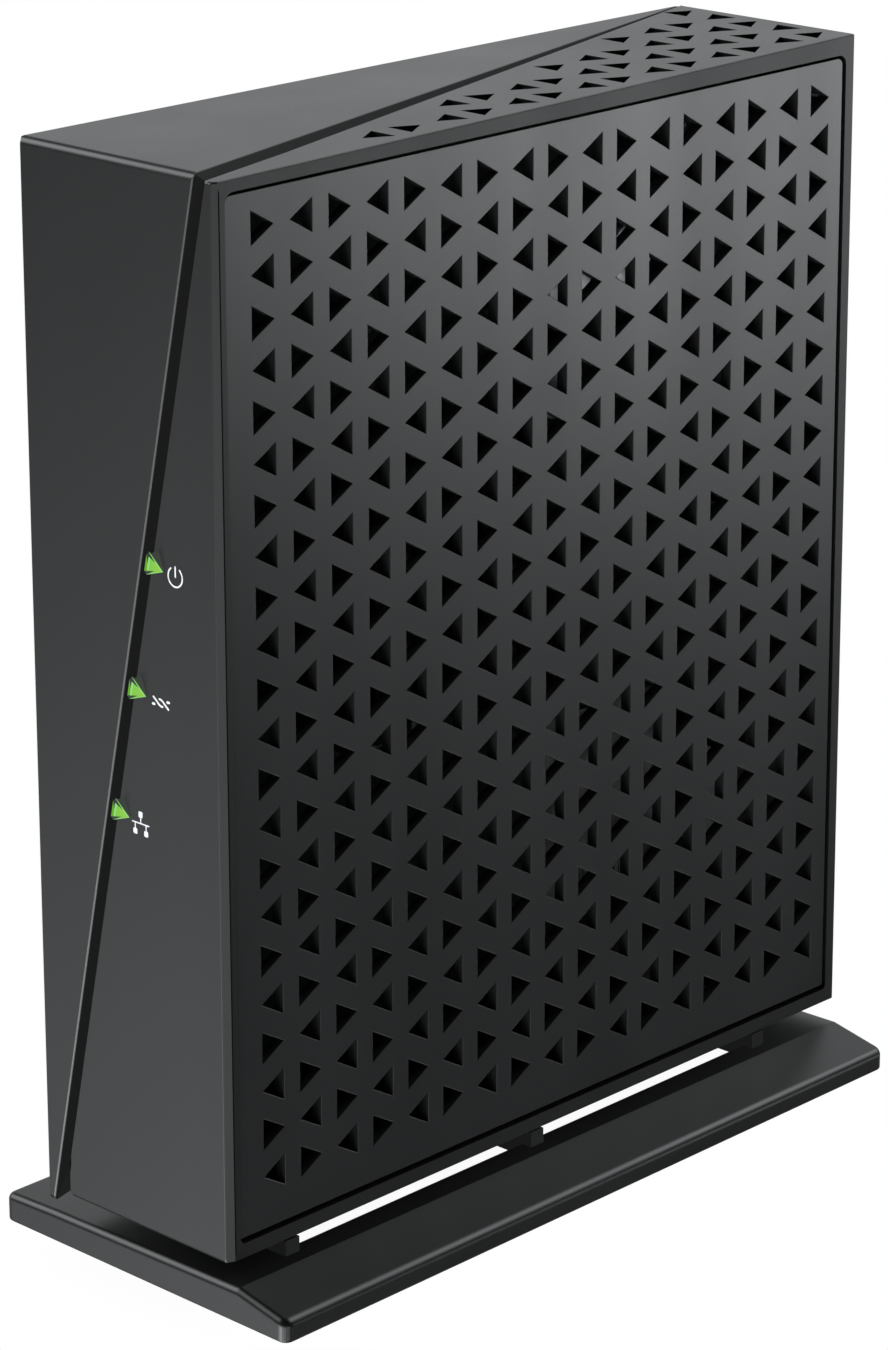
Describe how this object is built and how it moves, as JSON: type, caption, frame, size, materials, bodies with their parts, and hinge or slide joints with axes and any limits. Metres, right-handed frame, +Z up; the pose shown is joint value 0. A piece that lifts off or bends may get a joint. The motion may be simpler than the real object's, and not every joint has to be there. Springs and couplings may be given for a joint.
{
  "type": "cable modem",
  "caption": "Slim upright cable modem with a triangle-perforated side and top, a raised front corner cover split by a slanted seam, status lenses and a clip-on stand.",
  "frame": {"origin": "on the table, under the middle of the overall box, coax barrel included; the middle of the housing is 5.25 mm further forward", "axes": "+Z up, front face towards -Y, perforated side towards +X, rear connectors towards +Y"},
  "size_m": [0.0484, 0.1216, 0.1349],
  "materials": {
    "satin_black": "satin, fine grain",
    "dark_plastic": "matte",
    "lens_green": "translucent, lit",
    "led_body": "translucent white",
    "board_green": "solder mask",
    "ribbon_grey": "matte",
    "chip_black": "moulded epoxy",
    "pad_grey": "soft silicone",
    "bare_aluminium": "extruded",
    "tin_plate": "plated",
    "insulator_white": "matte",
    "contact_gold": "plated",
    "sleeve_blue": "shrink sleeve",
    "rubber_black": "matte"
  },
  "bodies": {
    "modem": {"main_housing": "satin_black", "front_corner_cover": "satin_black", "side_grille": "satin_black", "rear_panel": "dark_plastic", "ethernet_jack": "dark_plastic", "dc_jack": "dark_plastic", "power_switch": "dark_plastic", "reset_switch": "dark_plastic", "lens_power": "lens_green", "lens_link": "lens_green", "lens_network": "lens_green", "status_led_power": "led_body", "status_led_link": "led_body", "status_led_network": "led_body", "status_board": "board_green", "main_board": "board_green", "status_ribbon": "ribbon_grey", "modem_chip": "chip_black", "memory_chip": "chip_black", "flash_chip": "chip_black", "ethernet_transformer": "chip_black", "power_inductor": "chip_black", "thermal_pad": "pad_grey", "heatsink": "bare_aluminium", "tuner_shield": "tin_plate", "crystal_can": "tin_plate", "coax_base": "tin_plate", "coax_barrel": "tin_plate", "coax_nut": "tin_plate", "coax_insulator": "insulator_white", "dc_pin": "tin_plate", "ethernet_contacts": "contact_gold", "board_screw_1": "tin_plate", "capacitor_1": "sleeve_blue", "board_screw_2": "tin_plate", "capacitor_2": "sleeve_blue", "board_screw_3": "tin_plate", "capacitor_3": "sleeve_blue", "board_screw_4": "tin_plate", "capacitor_4": "sleeve_blue"},
    "stand_unit": {"stand": "satin_black", "rubber_foot_1": "rubber_black", "rubber_foot_2": "rubber_black", "rubber_foot_3": "rubber_black", "rubber_foot_4": "rubber_black"},
    "power_button_cap": {"power_button": "dark_plastic"},
    "reset_plunger": {"reset_button": "dark_plastic"}
  },
  "joints": [
    {"name": "stand_pull", "type": "slide", "parent": "modem", "child": "stand_unit", "axis": [0, 0, -1], "range_m": [0, 0.008], "stiffness_N_per_m": 60, "springref_m": -0.004},
    {"name": "power_push", "type": "slide", "parent": "modem", "child": "power_button_cap", "axis": [0, -1, 0], "range_m": [0, 0.002], "stiffness_N_per_m": 10, "springref_m": -0.002},
    {"name": "reset_push", "type": "slide", "parent": "modem", "child": "reset_plunger", "axis": [0, -1, 0], "range_m": [0, 0.0005], "stiffness_N_per_m": 2, "springref_m": -0.001}
  ]
}
